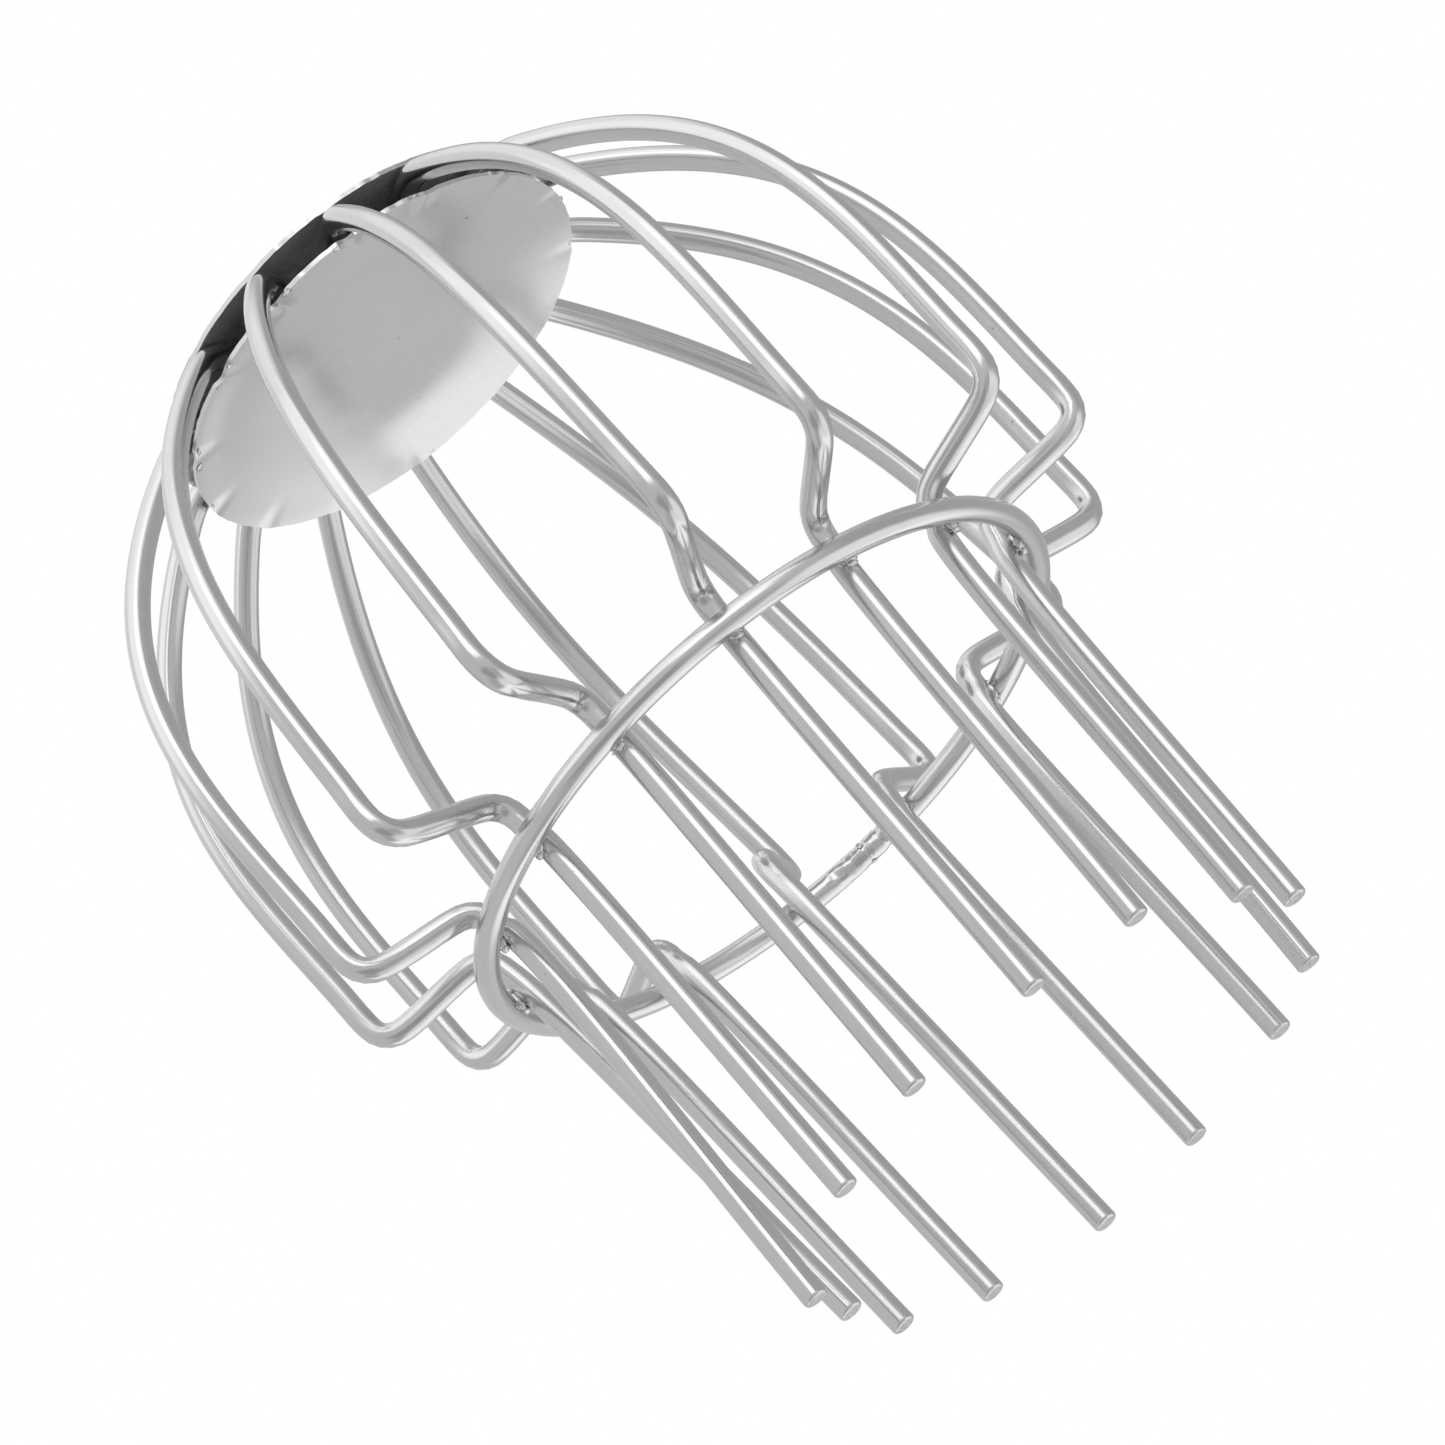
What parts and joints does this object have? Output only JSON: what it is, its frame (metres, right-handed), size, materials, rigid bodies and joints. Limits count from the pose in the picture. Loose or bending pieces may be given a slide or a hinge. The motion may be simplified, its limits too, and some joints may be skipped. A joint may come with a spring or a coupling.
{
  "type": "wire balloon strainer",
  "caption": "Balloon-shaped guard of bent round wires under a small domed cap, with a ring and straight prongs that push into a rainwater outlet to keep leaves out",
  "frame": {"origin": "on the strainer's axis, at the level of the longest prong tips, which is the base it stands on", "axes": "+Z along the strainer's axis from the prong tips to the cap; +X through the middle of the rib named rib_04"},
  "size_m": [0.0975, 0.0952, 0.1172],
  "materials": {
    "wire": "drawn stainless-steel wire, satin to bright, with fine lengthwise drawing lines",
    "cap_sheet": "thin polished stainless-steel sheet with a soft reflection",
    "weld_metal": "small squeezed-out resistance weld beads, duller and darker than the wire"
  },
  "bodies": {
    "root": {"rib_01": "wire", "rib_02": "wire", "rib_03": "wire", "rib_04": "wire", "rib_05": "wire", "rib_06": "wire", "rib_07": "wire", "rib_08": "wire", "rib_09": "wire", "rib_10": "wire", "rib_11": "wire", "rib_12": "wire", "rib_13": "wire", "rib_14": "wire", "collar_ring": "wire", "cap_lower_disc": "cap_sheet", "cap_upper_disc": "cap_sheet", "rib_weld_01": "weld_metal", "rib_weld_02": "weld_metal", "rib_weld_03": "weld_metal", "rib_weld_04": "weld_metal", "rib_weld_05": "weld_metal", "rib_weld_06": "weld_metal", "rib_weld_07": "weld_metal", "rib_weld_08": "weld_metal", "rib_weld_09": "weld_metal", "rib_weld_10": "weld_metal", "rib_weld_11": "weld_metal", "rib_weld_12": "weld_metal", "rib_weld_13": "weld_metal", "rib_weld_14": "weld_metal"}
  },
  "joints": []
}
